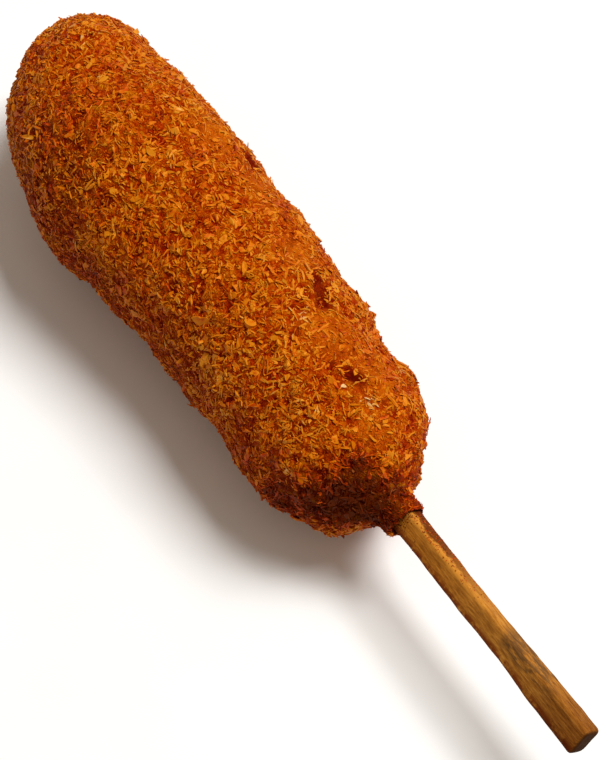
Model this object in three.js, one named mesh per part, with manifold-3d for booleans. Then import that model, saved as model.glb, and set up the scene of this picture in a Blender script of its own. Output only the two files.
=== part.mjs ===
// A breaded corn dog lying on its side: one solid loaf of batter and crumbs round a sausage,
// on a four-sided wooden stick that runs deep into it. Millimetres, +Z up, +X towards the stick's
// free end. The origin is under the middle of the object, on the surface that it rests on.
import * as THREE from "three";
import { mergeVertices } from "three/addons/utils/BufferGeometryUtils.js";
import Module from "manifold-3d";

const wasm = await Module();
wasm.setup();

// ---- Driving dimensions ----

// The loaf between its two rounded ends. Each station is a cross-section: x along the object,
// half its width and half its height, and where its centre is sideways and above the ground.
const LOAF_STATIONS = [
  { x: -80, half: 20.3, tall: 20.5, side: 1.9, height: 22.5 },
  { x: -58, half: 23.8, tall: 23.7, side: -0.2, height: 23.0 },
  { x: -41, half: 22.6, tall: 22.7, side: 1.4, height: 21.9 },
  { x: -24, half: 21.6, tall: 21.7, side: 2.5, height: 20.8 },
  { x: -6, half: 20.6, tall: 20.8, side: 2.0, height: 20.0 },
  { x: 8, half: 19.9, tall: 20.1, side: 1.2, height: 19.4 },
  { x: 18, half: 19.2, tall: 19.2, side: 1.0, height: 18.9 },
];

// The rounded ends: how far each stands past the last station, how square its shoulders are
// (2 is an ellipse), and how far its tip is carried sideways.
const BLUNT_END = { reach: 23.5, shoulders: 1.7, sideways: 5.4 };
const STICK_END = { reach: 21, shoulders: 1.85, sideways: 0 };
const TIP_BEND = 1.15; // how late the sideways carry of a tip begins: 1 is at once
const END_RINGS = 11;
const MIDDLE_RINGS = 22;
const LOAF_SEGMENTS = 52;

// The collar of batter that runs out along the stick.
const COLLAR_RADIUS = 4.1;
const COLLAR_END = 44.6;
const COLLAR_RINGS = 5;
const COLLAR_FILLET = 3.5; // how softly the collar grows out of the loaf
const COLLAR_LIP = 1.0;

// Low swellings in the batter: how high, how many along the loaf and round it, where they start.
const SWELLINGS = [
  { height: 0.4, along: 2.3, round: 2, start: 0.8 },
  { height: 0.35, along: 4.1, round: 3, start: 2.1 },
  { height: 0.3, along: 6.7, round: 5, start: 4.4 },
];

// Single lumps: where each sits along and round the loaf (0 is +Y, 90 is straight up),
// how far it stands out or sinks in, and how far it spreads.
const LUMPS = [
  { x: -2, turn: 12, height: 1.0, spread: 5.5 },
  { x: 18, turn: 22, height: 1.3, spread: 5 },
  { x: 8, turn: 30, height: -0.9, spread: 5 },
  { x: -18, turn: 205, height: 1.0, spread: 7 },
  { x: 20, turn: 190, height: 0.8, spread: 9 },
  { x: 36, turn: 212, height: 2.6, spread: 6 },
  { x: -62, turn: 60, height: 0.8, spread: 10 },
  { x: -34, turn: 110, height: -0.7, spread: 9 },
];

// The stick: a rectangular section, thicker at the hand end, with its edges taken off.
const STICK_STATIONS = [
  { x: -36, width: 5.4, thickness: 4.1 },
  { x: 76, width: 5.4, thickness: 4.1 },
  { x: 91, width: 6.2, thickness: 4.9 },
  { x: 102.2, width: 6.3, thickness: 5.0 },
];
const STICK_SIDE = 1.3;
const STICK_HEIGHT = 20;
const STICK_TURN = THREE.MathUtils.degToRad(50);
const STICK_EDGE = 0.6;
const STICK_END_BEVEL = 0.6;
const SOCKET_GAP = 0.3;

const CRUST_COLOUR = 0xb8660f;
const WOOD_COLOUR = 0x9a6428;

// ---- The loaf's form ----

/** A value of the loaf between its stations, on a smooth curve through them. */
function stationValue(key, x) {
  const last = LOAF_STATIONS.length - 1;
  let i = 0;
  while (i < last - 1 && x > LOAF_STATIONS[i + 1].x) i += 1;
  const before = LOAF_STATIONS[Math.max(i - 1, 0)];
  const from = LOAF_STATIONS[i];
  const to = LOAF_STATIONS[i + 1];
  const after = LOAF_STATIONS[Math.min(i + 2, last)];
  const span = to.x - from.x;
  const slopeFrom = (to[key] - before[key]) / (to.x - before.x);
  const slopeTo = (after[key] - from[key]) / (after.x - from.x);
  const t = (x - from.x) / span;
  const t2 = t * t;
  const t3 = t2 * t;
  return (
    (2 * t3 - 3 * t2 + 1) * from[key] +
    (t3 - 2 * t2 + t) * span * slopeFrom +
    (3 * t2 - 2 * t3) * to[key] +
    (t3 - t2) * span * slopeTo
  );
}

/** How far past the last station a place on a rounded end is, as a share of its reach. */
function pastShare(x) {
  const first = LOAF_STATIONS[0].x;
  const last = LOAF_STATIONS.at(-1).x;
  if (x < first) return { end: BLUNT_END, share: Math.min(1, (first - x) / BLUNT_END.reach) };
  return { end: STICK_END, share: THREE.MathUtils.clamp((x - last) / STICK_END.reach, 0, 1) };
}

/** The loaf's section at x: its half sizes and its centre, which meets the stick's at the collar. */
function sectionAt(x) {
  const { end, share } = pastShare(x);
  const inside = THREE.MathUtils.clamp(x, LOAF_STATIONS[0].x, LOAF_STATIONS.at(-1).x);
  const left = (1 - share ** end.shoulders) ** (1 / end.shoulders);
  const height = stationValue("height", inside);
  const rise = x > inside ? share * (STICK_HEIGHT - height) : 0;
  return {
    half: left * stationValue("half", inside),
    tall: left * stationValue("tall", inside),
    side: stationValue("side", inside) + end.sideways * share ** TIP_BEND,
    height: height + rise,
  };
}

/** The larger of two sizes, rounded over where they are close. */
function softLarger(a, b, softness) {
  return (a + b + Math.hypot(a - b, softness)) / 2;
}

/** The collar's radius at x: nothing far inside the loaf, turned in at its open end. */
function collarRadius(x) {
  if (x < LOAF_STATIONS.at(-1).x) return 0;
  const fromEnd = Math.min(COLLAR_LIP, COLLAR_END - x);
  return COLLAR_RADIUS - COLLAR_LIP + Math.sqrt(COLLAR_LIP ** 2 - (COLLAR_LIP - fromEnd) ** 2);
}

/** How far the batter swells past its plain section, at a place along and round the loaf. */
function swelling(x, turn) {
  const along = (x - LOAF_STATIONS[0].x) / (LOAF_STATIONS.at(-1).x - LOAF_STATIONS[0].x);
  let out = 0;
  for (const s of SWELLINGS) {
    const wave = Math.sin(2 * Math.PI * s.along * along + s.start);
    out += s.height * wave * Math.cos(s.round * turn + s.start);
  }
  return out;
}

/** How far the single lumps stand out at a place on a section of the given radius. */
function lumpiness(x, turn, radius) {
  let out = 0;
  for (const lump of LUMPS) {
    const apart = turn - THREE.MathUtils.degToRad(lump.turn);
    const round = radius * Math.atan2(Math.sin(apart), Math.cos(apart));
    out += lump.height * Math.exp(-(((x - lump.x) ** 2 + round ** 2) / lump.spread ** 2));
  }
  return out;
}

/** One ring of points round the loaf at x. */
function loafRing(x) {
  const section = sectionAt(x);
  const collar = collarRadius(x);
  const fillet = collar > 0 ? COLLAR_FILLET : 0;
  const half = softLarger(section.half, collar, fillet);
  const tall = softLarger(section.tall, collar, fillet);
  const fade = THREE.MathUtils.smoothstep(section.half, COLLAR_RADIUS, 3 * COLLAR_RADIUS);
  const ring = [];
  for (let i = 0; i < LOAF_SEGMENTS; i += 1) {
    const turn = (2 * Math.PI * i) / LOAF_SEGMENTS;
    const out = fade * swelling(x, turn) + lumpiness(x, turn, half);
    const y = section.side + (half + out) * Math.cos(turn);
    const z = section.height + (tall + out) * Math.sin(turn);
    ring.push(new THREE.Vector3(x, y, z));
  }
  return ring;
}

/** Where the rings stand along the loaf: crowded on the rounded ends, even between. */
function ringPlaces() {
  const first = LOAF_STATIONS[0].x;
  const last = LOAF_STATIONS.at(-1).x;
  const places = [];
  for (let i = 1; i < END_RINGS; i += 1) {
    places.push(first - BLUNT_END.reach * Math.cos((Math.PI / 2) * (i / END_RINGS)));
  }
  for (let i = 0; i < MIDDLE_RINGS; i += 1) {
    places.push(first + ((last - first) * i) / MIDDLE_RINGS);
  }
  for (let i = 0; i <= END_RINGS; i += 1) {
    places.push(last + STICK_END.reach * Math.sin((Math.PI / 2) * (i / END_RINGS)));
  }
  const rest = COLLAR_END - last - STICK_END.reach;
  for (let i = 1; i <= COLLAR_RINGS; i += 1) {
    places.push(last + STICK_END.reach + rest * Math.sin((Math.PI / 2) * (i / COLLAR_RINGS)));
  }
  return places;
}

/** A closed skin over rings of points, with a point at each end. */
function skinOver(rings, firstPole, lastPole) {
  const count = rings[0].length;
  const points = [firstPole, ...rings.flat(), lastPole];
  const pole = points.length - 1;
  const triangles = [];
  const at = (ring, i) => 1 + ring * count + (i % count);
  for (let i = 0; i < count; i += 1) {
    triangles.push(0, at(0, i + 1), at(0, i));
    triangles.push(pole, at(rings.length - 1, i), at(rings.length - 1, i + 1));
    for (let r = 0; r < rings.length - 1; r += 1) {
      triangles.push(at(r, i), at(r, i + 1), at(r + 1, i));
      triangles.push(at(r, i + 1), at(r + 1, i + 1), at(r + 1, i));
    }
  }
  const geometry = new THREE.BufferGeometry().setFromPoints(points);
  geometry.setIndex(triangles);
  return geometry;
}

/** The loaf's whole outside, before it is bored for the stick and flattened where it rests. */
function loafGeometry() {
  const first = LOAF_STATIONS[0];
  const tipSide = first.side + BLUNT_END.sideways;
  const tip = new THREE.Vector3(first.x - BLUNT_END.reach, tipSide, first.height);
  const end = sectionAt(COLLAR_END);
  const collarMiddle = new THREE.Vector3(COLLAR_END, end.side, end.height);
  return skinOver(ringPlaces().map(loafRing), tip, collarMiddle);
}

// ---- The stick's form ----

/** One section of the stick: a rectangle with its four edges taken off. */
function stickRing(x, width, thickness, edge) {
  const w = width / 2;
  const t = thickness / 2;
  const corners = [
    [w - edge, -t],
    [w, -t + edge],
    [w, t - edge],
    [w - edge, t],
    [-w + edge, t],
    [-w, t - edge],
    [-w, -t + edge],
    [-w + edge, -t],
  ];
  const cos = Math.cos(STICK_TURN);
  const sin = Math.sin(STICK_TURN);
  return corners.map(([u, v]) => {
    const y = STICK_SIDE + u * cos - v * sin;
    const z = STICK_HEIGHT + u * sin + v * cos;
    return new THREE.Vector3(x, y, z);
  });
}

/** The stick, or with a margin the socket that it fills. */
function stickGeometry(margin) {
  const first = STICK_STATIONS[0];
  const last = STICK_STATIONS.at(-1);
  const middle = STICK_STATIONS.slice(1, -1);
  const grow = 2 * margin;
  const taken = 2 * STICK_END_BEVEL - grow;
  const innerEnd = first.x - margin;
  const outerEnd = last.x + margin;
  const rings = [
    stickRing(innerEnd, first.width - taken, first.thickness - taken, STICK_EDGE / 2),
    stickRing(innerEnd + STICK_END_BEVEL, first.width + grow, first.thickness + grow, STICK_EDGE),
    ...middle.map((s) => stickRing(s.x, s.width + grow, s.thickness + grow, STICK_EDGE)),
    stickRing(outerEnd - STICK_END_BEVEL, last.width + grow, last.thickness + grow, STICK_EDGE),
    stickRing(outerEnd, last.width - taken, last.thickness - taken, STICK_EDGE / 2),
  ];
  const innerPole = new THREE.Vector3(innerEnd, STICK_SIDE, STICK_HEIGHT);
  return skinOver(rings, innerPole, new THREE.Vector3(outerEnd, STICK_SIDE, STICK_HEIGHT));
}

// ---- Cutting ----

/** A closed geometry as a solid that can be cut. */
function solidFrom(geometry) {
  const bare = geometry.clone();
  bare.deleteAttribute("normal");
  bare.deleteAttribute("uv");
  const merged = mergeVertices(bare, 1e-4);
  const mesh = new wasm.Mesh({
    numProp: 3,
    vertProperties: merged.attributes.position.array,
    triVerts: new Uint32Array(merged.index.array),
  });
  return new wasm.Manifold(mesh);
}

/** A cut solid back as a geometry. */
function geometryFrom(solid) {
  const mesh = solid.getMesh();
  const geometry = new THREE.BufferGeometry();
  geometry.setAttribute("position", new THREE.BufferAttribute(mesh.vertProperties, 3));
  geometry.setIndex(new THREE.BufferAttribute(mesh.triVerts, 1));
  geometry.computeVertexNormals();
  return geometry;
}

/** Everything below the resting surface. */
function groundGeometry() {
  const size = 3 * (STICK_STATIONS.at(-1).x - LOAF_STATIONS[0].x);
  return new THREE.BoxGeometry(size, size, size).translate(0, 0, -size / 2);
}

// ---- The two pieces ----

/** The breaded loaf, bored for the stick and flat where it lies. */
function makeLoaf() {
  const socket = solidFrom(stickGeometry(SOCKET_GAP));
  const loaf = solidFrom(loafGeometry()).subtract(socket).subtract(solidFrom(groundGeometry()));
  const material = new THREE.MeshStandardMaterial({ color: CRUST_COLOUR, roughness: 0.55, metalness: 0 });
  const mesh = new THREE.Mesh(geometryFrom(loaf), material);
  mesh.name = "breaded_loaf";
  return mesh;
}

/** The wooden stick from its hidden end to the hand end. */
function makeStick() {
  const material = new THREE.MeshStandardMaterial({ color: WOOD_COLOUR, roughness: 0.6, metalness: 0 });
  const mesh = new THREE.Mesh(stickGeometry(0), material);
  mesh.name = "stick";
  return mesh;
}

const cornDog = new THREE.Group();
cornDog.add(makeLoaf(), makeStick());

// The last small shift puts the origin under the middle of the finished form.
const box = new THREE.Box3().setFromObject(cornDog, true);
cornDog.position.set(-(box.min.x + box.max.x) / 2, -(box.min.y + box.max.y) / 2, 0);

export default cornDog;
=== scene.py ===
"""Visual model of a breaded corn dog that lies on its side, on a four-sided wooden stick.

A rough skin of browned batter covers the loaf. Breadcrumbs of several kinds are pressed into it,
each kind in one piece of its own, and a little batter has run out along the stick.
All lengths are metres in the CAD model's frame.
"""

import functools
import logging
import math
from dataclasses import dataclass, field
from enum import Enum

import bpy
import numpy as np
from mathutils import Matrix, Vector


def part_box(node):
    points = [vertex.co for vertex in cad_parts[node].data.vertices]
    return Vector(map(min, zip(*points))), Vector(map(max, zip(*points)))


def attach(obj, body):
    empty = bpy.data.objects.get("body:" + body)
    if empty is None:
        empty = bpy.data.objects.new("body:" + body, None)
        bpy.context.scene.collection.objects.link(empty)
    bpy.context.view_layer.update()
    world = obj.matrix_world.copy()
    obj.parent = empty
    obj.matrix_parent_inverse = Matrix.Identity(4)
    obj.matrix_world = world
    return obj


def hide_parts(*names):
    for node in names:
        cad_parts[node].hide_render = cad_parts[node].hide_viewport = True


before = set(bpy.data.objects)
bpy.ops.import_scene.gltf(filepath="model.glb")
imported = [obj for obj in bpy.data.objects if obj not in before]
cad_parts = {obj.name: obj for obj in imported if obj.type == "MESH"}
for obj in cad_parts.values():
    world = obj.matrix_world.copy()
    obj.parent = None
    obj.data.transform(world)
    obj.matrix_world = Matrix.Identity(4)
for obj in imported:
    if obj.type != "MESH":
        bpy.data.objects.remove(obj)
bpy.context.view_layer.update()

LOG = logging.getLogger("corn_dog")
MM = 0.001
UV_NAME = "OFBake"
RELIEF = "relief"
Colour = tuple[float, float, float, float]
Stops = tuple[tuple[float, Colour], ...]
Socket = bpy.types.NodeSocket
Input = Socket | Colour | Vector | float
Inputs = dict[str | int, Input]
Places = tuple[np.ndarray, np.ndarray, np.ndarray]
Point = tuple[float, float, float]
# Where a range begins and ends, and then, where they aren't 0 and 1, the results there.
Span = tuple[float, ...]
# The lowest and the highest value that noise often reaches.
NOISE: Span = (0.3, 0.7)
# Where the paint of a spot begins and is full, as shares of its radius.
SPOT_EDGE: Span = (1.6, 0.2)
# How much stronger than its amount the paint is.
SPOT_BOOST = 0.3
# The colour of reflections in frying oil.
FRYING_OIL: Colour = (1.0, 0.45, 0.09, 1)
# How far a piece's UV map keeps from the map's edges.
UV_MARGIN = 0.02
# Nothing reaches lower than this above the floor.
LOWEST = 0.02 * MM


# ---- Helpers ----


def pick(thing: bpy.types.Object) -> None:
    """Make one object the only selected one and the active one.

    Args:
        thing: The object to work on next.
    """
    bpy.ops.object.select_all(action="DESELECT")
    thing.select_set(True)
    bpy.context.view_layer.objects.active = thing


def apply_modifier(thing: bpy.types.Object, kind: str, **settings: object) -> None:
    """Add a modifier, set it up and apply it.

    Args:
        thing: The object that is changed.
        kind: The modifier's type.
        settings: Its properties by name.
    """
    pick(thing)
    modifier = thing.modifiers.new(kind.lower(), kind)
    for name, value in settings.items():
        setattr(modifier, name, value)
    bpy.ops.object.modifier_apply(modifier=modifier.name)


def roughen(thing: bpy.types.Object, grain: float, height: float, sink: float = 0.0) -> None:
    """Push a surface in and out with soft noise.

    Args:
        thing: The object that is changed.
        grain: Size of the noise's features.
        height: Distance between its lowest and highest places.
        sink: How far the whole surface moves inwards.
    """
    clouds = bpy.data.textures.new(f"{thing.name}_{grain:.4f}", "CLOUDS")
    clouds.noise_scale = grain
    clouds.noise_depth = 2
    middle = 0.5 + sink / height
    apply_modifier(thing, "DISPLACE", texture=clouds, strength=height, mid_level=middle)


def read_vertices(mesh: bpy.types.Mesh, what: str = "co") -> np.ndarray:
    """Read a mesh's vertex places or normals.

    Args:
        mesh: The mesh.
        what: Either co or normal.

    Returns:
        One row of three numbers for each vertex.
    """
    values = np.zeros(len(mesh.vertices) * 3)
    mesh.vertices.foreach_get(what, values)
    return values.reshape(-1, 3)


def read_triangles(mesh: bpy.types.Mesh) -> np.ndarray:
    """Read the corners of a mesh's triangles.

    Args:
        mesh: The mesh.

    Returns:
        One row of three vertex numbers for each triangle.
    """
    mesh.calc_loop_triangles()
    corners = np.zeros(len(mesh.loop_triangles) * 3, np.int64)
    mesh.loop_triangles.foreach_get("vertices", corners)
    return corners.reshape(-1, 3)


def write_vertices(mesh: bpy.types.Mesh, places: np.ndarray) -> None:
    """Move a mesh's vertices.

    Args:
        mesh: The mesh.
        places: The new place of each vertex.
    """
    mesh.vertices.foreach_set("co", places.ravel())
    mesh.update()


def triangle_areas(corners: np.ndarray) -> np.ndarray:
    """Work out the areas of triangles.

    Args:
        corners: The places of each triangle's three corners.

    Returns:
        One area for each triangle.
    """
    a, b, c = corners.transpose(1, 0, 2)
    return np.linalg.norm(np.cross(b - a, c - a), axis=1) / 2


def cut(place: Point, way: Point) -> None:
    """Cut new edges right across the mesh that is being edited.

    Args:
        place: A place on the cut.
        way: The direction square to it.
    """
    bpy.ops.mesh.select_all(action="SELECT")
    bpy.ops.mesh.bisect(plane_co=place, plane_no=way)


def write_uv(mesh: bpy.types.Mesh, corners: np.ndarray) -> None:
    """Give a mesh its one UV map.

    Args:
        mesh: The mesh.
        corners: U and V for each face corner.
    """
    layer = mesh.uv_layers.get(UV_NAME) or mesh.uv_layers.new(name=UV_NAME)
    layer.data.foreach_set("uv", corners.astype(np.float32).ravel())


def read_loops(mesh: bpy.types.Mesh) -> np.ndarray:
    """Read which vertex each face corner belongs to.

    Args:
        mesh: The mesh.

    Returns:
        One vertex number for each face corner.
    """
    corners = np.zeros(len(mesh.loops), np.int64)
    mesh.loops.foreach_get("vertex_index", corners)
    return corners


def unit(rows: np.ndarray) -> np.ndarray:
    """Scale each row of an array to length one.

    Args:
        rows: The vectors.

    Returns:
        The same vectors at length one.
    """
    return rows / np.maximum(np.linalg.norm(rows, axis=-1, keepdims=True), 1e-12)


def part_of_turn(angle: np.ndarray | float, near: np.ndarray | float) -> np.ndarray | float:
    """Make a corner's angle round the long axis a share of a whole turn.

    Args:
        angle: The corner's angle, in radians.
        near: The angle of its face's middle, so that a face isn't torn where the turn ends.

    Returns:
        The share, which is a little below 0 or above 1 where a face crosses the end of the turn.
    """
    angle = near + (angle - near + math.pi) % (2 * math.pi) - math.pi
    return (angle + math.pi) / (2 * math.pi)


def hand_over(piece: bpy.types.Object, material: bpy.types.Material, node: str) -> None:
    """Dress a finished piece, hang it from the root body and hide the CAD node that it replaces.

    Args:
        piece: The finished object.
        material: What it is made of.
        node: The CAD node that it replaces.
    """
    piece.data.materials.clear()
    piece.data.materials.append(material)
    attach(piece, "root")
    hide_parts(node)
    LOG.info("%s: %d faces", piece.name, len(piece.data.polygons))


# ---- Finishes ----


class Shader:
    """A node material that is put together step by step."""

    def __init__(self, name: str) -> None:
        """Start an empty material with one principled shader.

        Args:
            name: The material's name.
        """
        self.material = bpy.data.materials.new(name)
        self.material.use_nodes = True
        self.tree = self.material.node_tree
        self.tree.nodes.clear()
        self.surface = self.add("BsdfPrincipled")
        output = self.add("OutputMaterial")
        self.join(self.surface.outputs[0], output.inputs[0])

    def join(self, source: Socket, target: Socket) -> None:
        """Link two sockets."""
        self.tree.links.new(source, target)

    def feed(self, value: Input, target: Socket) -> None:
        """Link a socket, or set it to a fixed value.

        Args:
            value: What it gets.
            target: The socket.
        """
        if isinstance(value, Socket):
            self.join(value, target)
        else:
            target.default_value = value

    def add(self, kind: str, inputs: Inputs | None = None, **settings: object) -> bpy.types.Node:
        """Add a node.

        Args:
            kind: The node's type.
            inputs: What its inputs get, by their names or numbers.
            settings: Its properties by name.

        Returns:
            The node.
        """
        node = self.tree.nodes.new(f"ShaderNode{kind}")
        for name, value in settings.items():
            setattr(node, name, value)
        for name, value in (inputs or {}).items():
            self.feed(value, node.inputs[name])
        return node

    def place(self) -> Socket:
        """Give coordinates fixed to the object."""
        return self.add("TexCoord").outputs["Object"]

    def chart(self) -> Socket:
        """Give the coordinates of the piece's own UV map."""
        return self.add("UVMap", uv_map=UV_NAME).outputs[0]

    def stored(self, name: str) -> Socket:
        """Give a value that is stored under this name with the piece's vertices."""
        return self.add("Attribute", attribute_name=name).outputs["Fac"]

    def mirrored(self) -> Socket:
        """Give 1 where the surface is seen only as a reflection."""
        return self.add("LightPath").outputs["Is Glossy Ray"]

    def stretch(self, where: Socket, by: Point) -> Socket:
        """Scale coordinates.

        Args:
            where: The coordinates.
            by: The scale along each axis.

        Returns:
            The scaled coordinates.
        """
        return self.add("Mapping", {"Vector": where, "Scale": by}).outputs[0]

    def split(self, vector: Socket) -> bpy.types.bpy_prop_collection:
        """Take a vector apart.

        Args:
            vector: The vector.

        Returns:
            Its X, Y and Z.
        """
        return self.add("SeparateXYZ", {0: vector}).outputs

    def noise(self, where: Socket, size: float, detail: float = 4.0, rough: float = 0.6) -> Socket:
        """Add soft noise.

        Args:
            where: The coordinates.
            size: Size of its features in those coordinates.
            detail: How many finer layers it has.
            rough: How strong the finer layers are.

        Returns:
            The noise, around one half.
        """
        inputs = {"Vector": where, "Scale": 1 / size, "Detail": detail, "Roughness": rough}
        return self.add("TexNoise", inputs).outputs["Fac"]

    def bend(self, where: Socket, size: float, reach: float) -> Socket:
        """Shift coordinates about with noise, so that what they place looks torn.

        Args:
            where: The coordinates.
            size: Size of the noise's features.
            reach: How far they shift.

        Returns:
            The shifted coordinates.
        """
        noise = self.add("TexNoise", {"Vector": where, "Scale": 1 / size, "Detail": 3.0})
        inputs = {0: noise.outputs["Color"], 1: (2 * reach,) * 3, 2: where}
        return self.add("VectorMath", inputs, operation="MULTIPLY_ADD").outputs[0]

    def cells(self, where: Socket, size: float) -> tuple[Socket, Socket]:
        """Divide space into uneven cells, like crumbs pressed together.

        Args:
            where: The coordinates.
            size: Size of a cell.

        Returns:
            How far inside its cell a place is, and a number that each cell has of its own.
        """
        inputs = {"Vector": where, "Scale": 1 / size}
        edge = self.add("TexVoronoi", inputs, feature="DISTANCE_TO_EDGE")
        cell = self.add("TexVoronoi", inputs, feature="F1")
        return edge.outputs["Distance"], self.split(cell.outputs["Color"])[0]

    def ramp(self, value: Socket, stops: Stops) -> Socket:
        """Turn a value into a colour.

        Args:
            value: The value.
            stops: Places between 0 and 1, each with its colour.

        Returns:
            The colour.
        """
        node = self.add("ValToRGB", {0: value})
        elements = node.color_ramp.elements
        while len(elements) < len(stops):
            elements.new(0.5)
        for element, (place, colour) in zip(elements, stops):
            element.position = place
            element.color = colour
        return node.outputs[0]

    def window(
        self, value: Socket, low: float, high: float, to_low: float = 0.0, to_high: float = 1.0
    ) -> Socket:
        """Map a value smoothly from one range to another and hold it there.

        Args:
            value: The value.
            low: Where the range begins.
            high: Where it ends.
            to_low: The result at its beginning.
            to_high: The result at its end.

        Returns:
            The mapped value.
        """
        inputs = {"Value": value, "From Min": low, "From Max": high, "To Min": to_low, "To Max": to_high}
        return self.add("MapRange", inputs, interpolation_type="SMOOTHSTEP").outputs[0]

    def near(self, where: Socket, spot: "Spot", depth: float = 0.0) -> Socket:
        """Tell how near a place is to the middle of a spot.

        Args:
            where: The coordinates.
            spot: The spot.
            depth: How far below the spot the surface lies.

        Returns:
            A little more than the spot's amount in its middle, up to one, and nothing outside it.
        """
        inputs = {0: where, 1: Vector(spot.centre) * MM}
        apart = self.add("VectorMath", inputs, operation="DISTANCE").outputs["Value"]
        outer, inner = (share * spot.radius * MM + depth for share in SPOT_EDGE)
        return self.window(apart, outer, inner, 0.0, min(1.0, spot.amount + SPOT_BOOST))

    def combine(self, how: str, a: Socket, b: Socket | float) -> Socket:
        """Do a sum with two values.

        Args:
            how: Which sum.
            a: The first value.
            b: The second value, linked or fixed.

        Returns:
            The result.
        """
        return self.add("Math", {0: a, 1: b}, operation=how).outputs[0]

    def overlap(self, *shares: Socket | float) -> Socket:
        """Multiply shares, so that the result is full only where all of them are.

        Args:
            shares: The shares, the first of them linked.

        Returns:
            Their product.
        """
        return functools.reduce(functools.partial(self.combine, "MULTIPLY"), shares)

    def blend(
        self, under: Socket, over: Socket | Colour, share: Socket | float, how: str = "MIX"
    ) -> Socket:
        """Lay one colour over another.

        Args:
            under: The colour below.
            over: The colour on top, linked or fixed.
            share: How much of it shows, linked or fixed.
            how: How the two combine.

        Returns:
            The combined colour.
        """
        inputs = {0: share, 6: under, 7: over}
        return self.add("Mix", inputs, data_type="RGBA", blend_type=how).outputs[2]

    def multiply(self, under: Socket, over: Socket | Colour, share: Socket | float = 1.0) -> Socket:
        """Darken or tint one colour with another.

        Args:
            under: The colour below.
            over: The colour it is multiplied by, linked or fixed.
            share: How much that counts, linked or fixed.

        Returns:
            The product.
        """
        return self.blend(under, over, share, "MULTIPLY")

    def bump(self, height: Socket, distance: float, strength: float) -> None:
        """Give the surface fine relief.

        Args:
            height: The relief, from 0 to 1.
            distance: How far 1 stands above 0.
            strength: How much of it shows.
        """
        inputs = {"Distance": distance, "Strength": strength, "Height": height}
        self.join(self.add("Bump", inputs).outputs[0], self.surface.inputs["Normal"])

    def paint(
        self, colour: Socket, roughness: Socket, shine: float, tint: Colour = (1, 1, 1, 1)
    ) -> None:
        """Connect colour and roughness to the surface.

        Args:
            colour: The surface's colour.
            roughness: How rough it is.
            shine: How strongly it reflects.
            tint: The colour of its reflections.
        """
        names = ("Base Color", "Roughness", "Specular IOR Level", "Specular Tint")
        for name, value in zip(names, (colour, roughness, shine, tint)):
            self.feed(value, self.surface.inputs[name])


@dataclass(frozen=True)
class Spot:
    """A round place on the loaf.

    Attributes:
        centre: Its middle, in millimetres.
        radius: How far it reaches, in millimetres.
        amount: How strong it is.
    """

    centre: Point
    radius: float
    amount: float

    def share(self, places: np.ndarray) -> np.ndarray:
        """Tell how strongly the spot acts at each place.

        Args:
            places: Places on the loaf.

        Returns:
            The spot's amount, falling off softly with distance.
        """
        apart = np.linalg.norm(places - np.array(self.centre) * MM, axis=1) / (self.radius * MM)
        return self.amount * np.exp(-(apart**2))


# Where the breading is toasted darker, and where painted shade darkens the lower flank that faces away
# from the light.
TOAST_AND_FLANK_SHADE = (
    Spot((38, -6, 24), 8, 0.50),
    Spot((32, -12, 22), 8, 0.38),
    Spot((41, -3, 22), 6, 0.35),
    Spot((27, -15, 19), 8, 0.25),
    Spot((35, -4, 30), 5, 0.18),
    Spot((43, 6, 25), 6, 0.26),
    Spot((-61, -17, 38), 14, 0.12),
    # Painted shade along the lower flank, away from the light.
    Spot((-68, -22, 22), 11, 0.10),
    Spot((-49, -23, 22), 10, 0.14),
    Spot((-35, -20, 23), 8, 0.14),
    Spot((-13, -19, 17), 12, 0.10),
    Spot((15, -20, 15), 10, 0.10),
)
# Where it is torn open and the batter is sunk: a gash of three, a hole and two pits.
BARE = (
    Spot((-5.7, 13.1, 38.0), 1.5, 1.8),
    Spot((-2.4, 11.9, 38.0), 1.5, 2.2),
    Spot((0.7, 10.8, 37.5), 1.4, 1.8),
    Spot((-39.4, 19.9, 34.5), 1.9, 1.8),
    Spot((17.9, 4.9, 37.9), 1.4, 0.8),
    Spot((19.8, 5.9, 37.5), 1.1, 0.8),
)
# Where fewer crumbs cover the golden batter.
SMOOTH = (
    Spot((-46.4, 15.5, 40.5), 6, 0.6),
    Spot((-30, 17, 38), 6, 0.5),
    Spot((-12.1, 12.9, 38.6), 5, 0.5),
    Spot((7.7, 7, 38.3), 6, 0.5),
    Spot((20, 10, 35), 6, 0.4),
    Spot((30.7, 2.2, 35.2), 4, 0.4),
)
# Where single crumbs stayed pale, and one painted glint.
PALE_AND_GLINT = (
    Spot((-70.3, 0.7, 44.6), 1.5, 0.6),
    # A painted glint.
    Spot((19.5, 17.5, 29.7), 1.4, 0.6),
    Spot((1.8, 4.4, 39.7), 1.4, 0.6),
    Spot((25.8, 4.6, 36.6), 1.6, 0.4),
)


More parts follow.
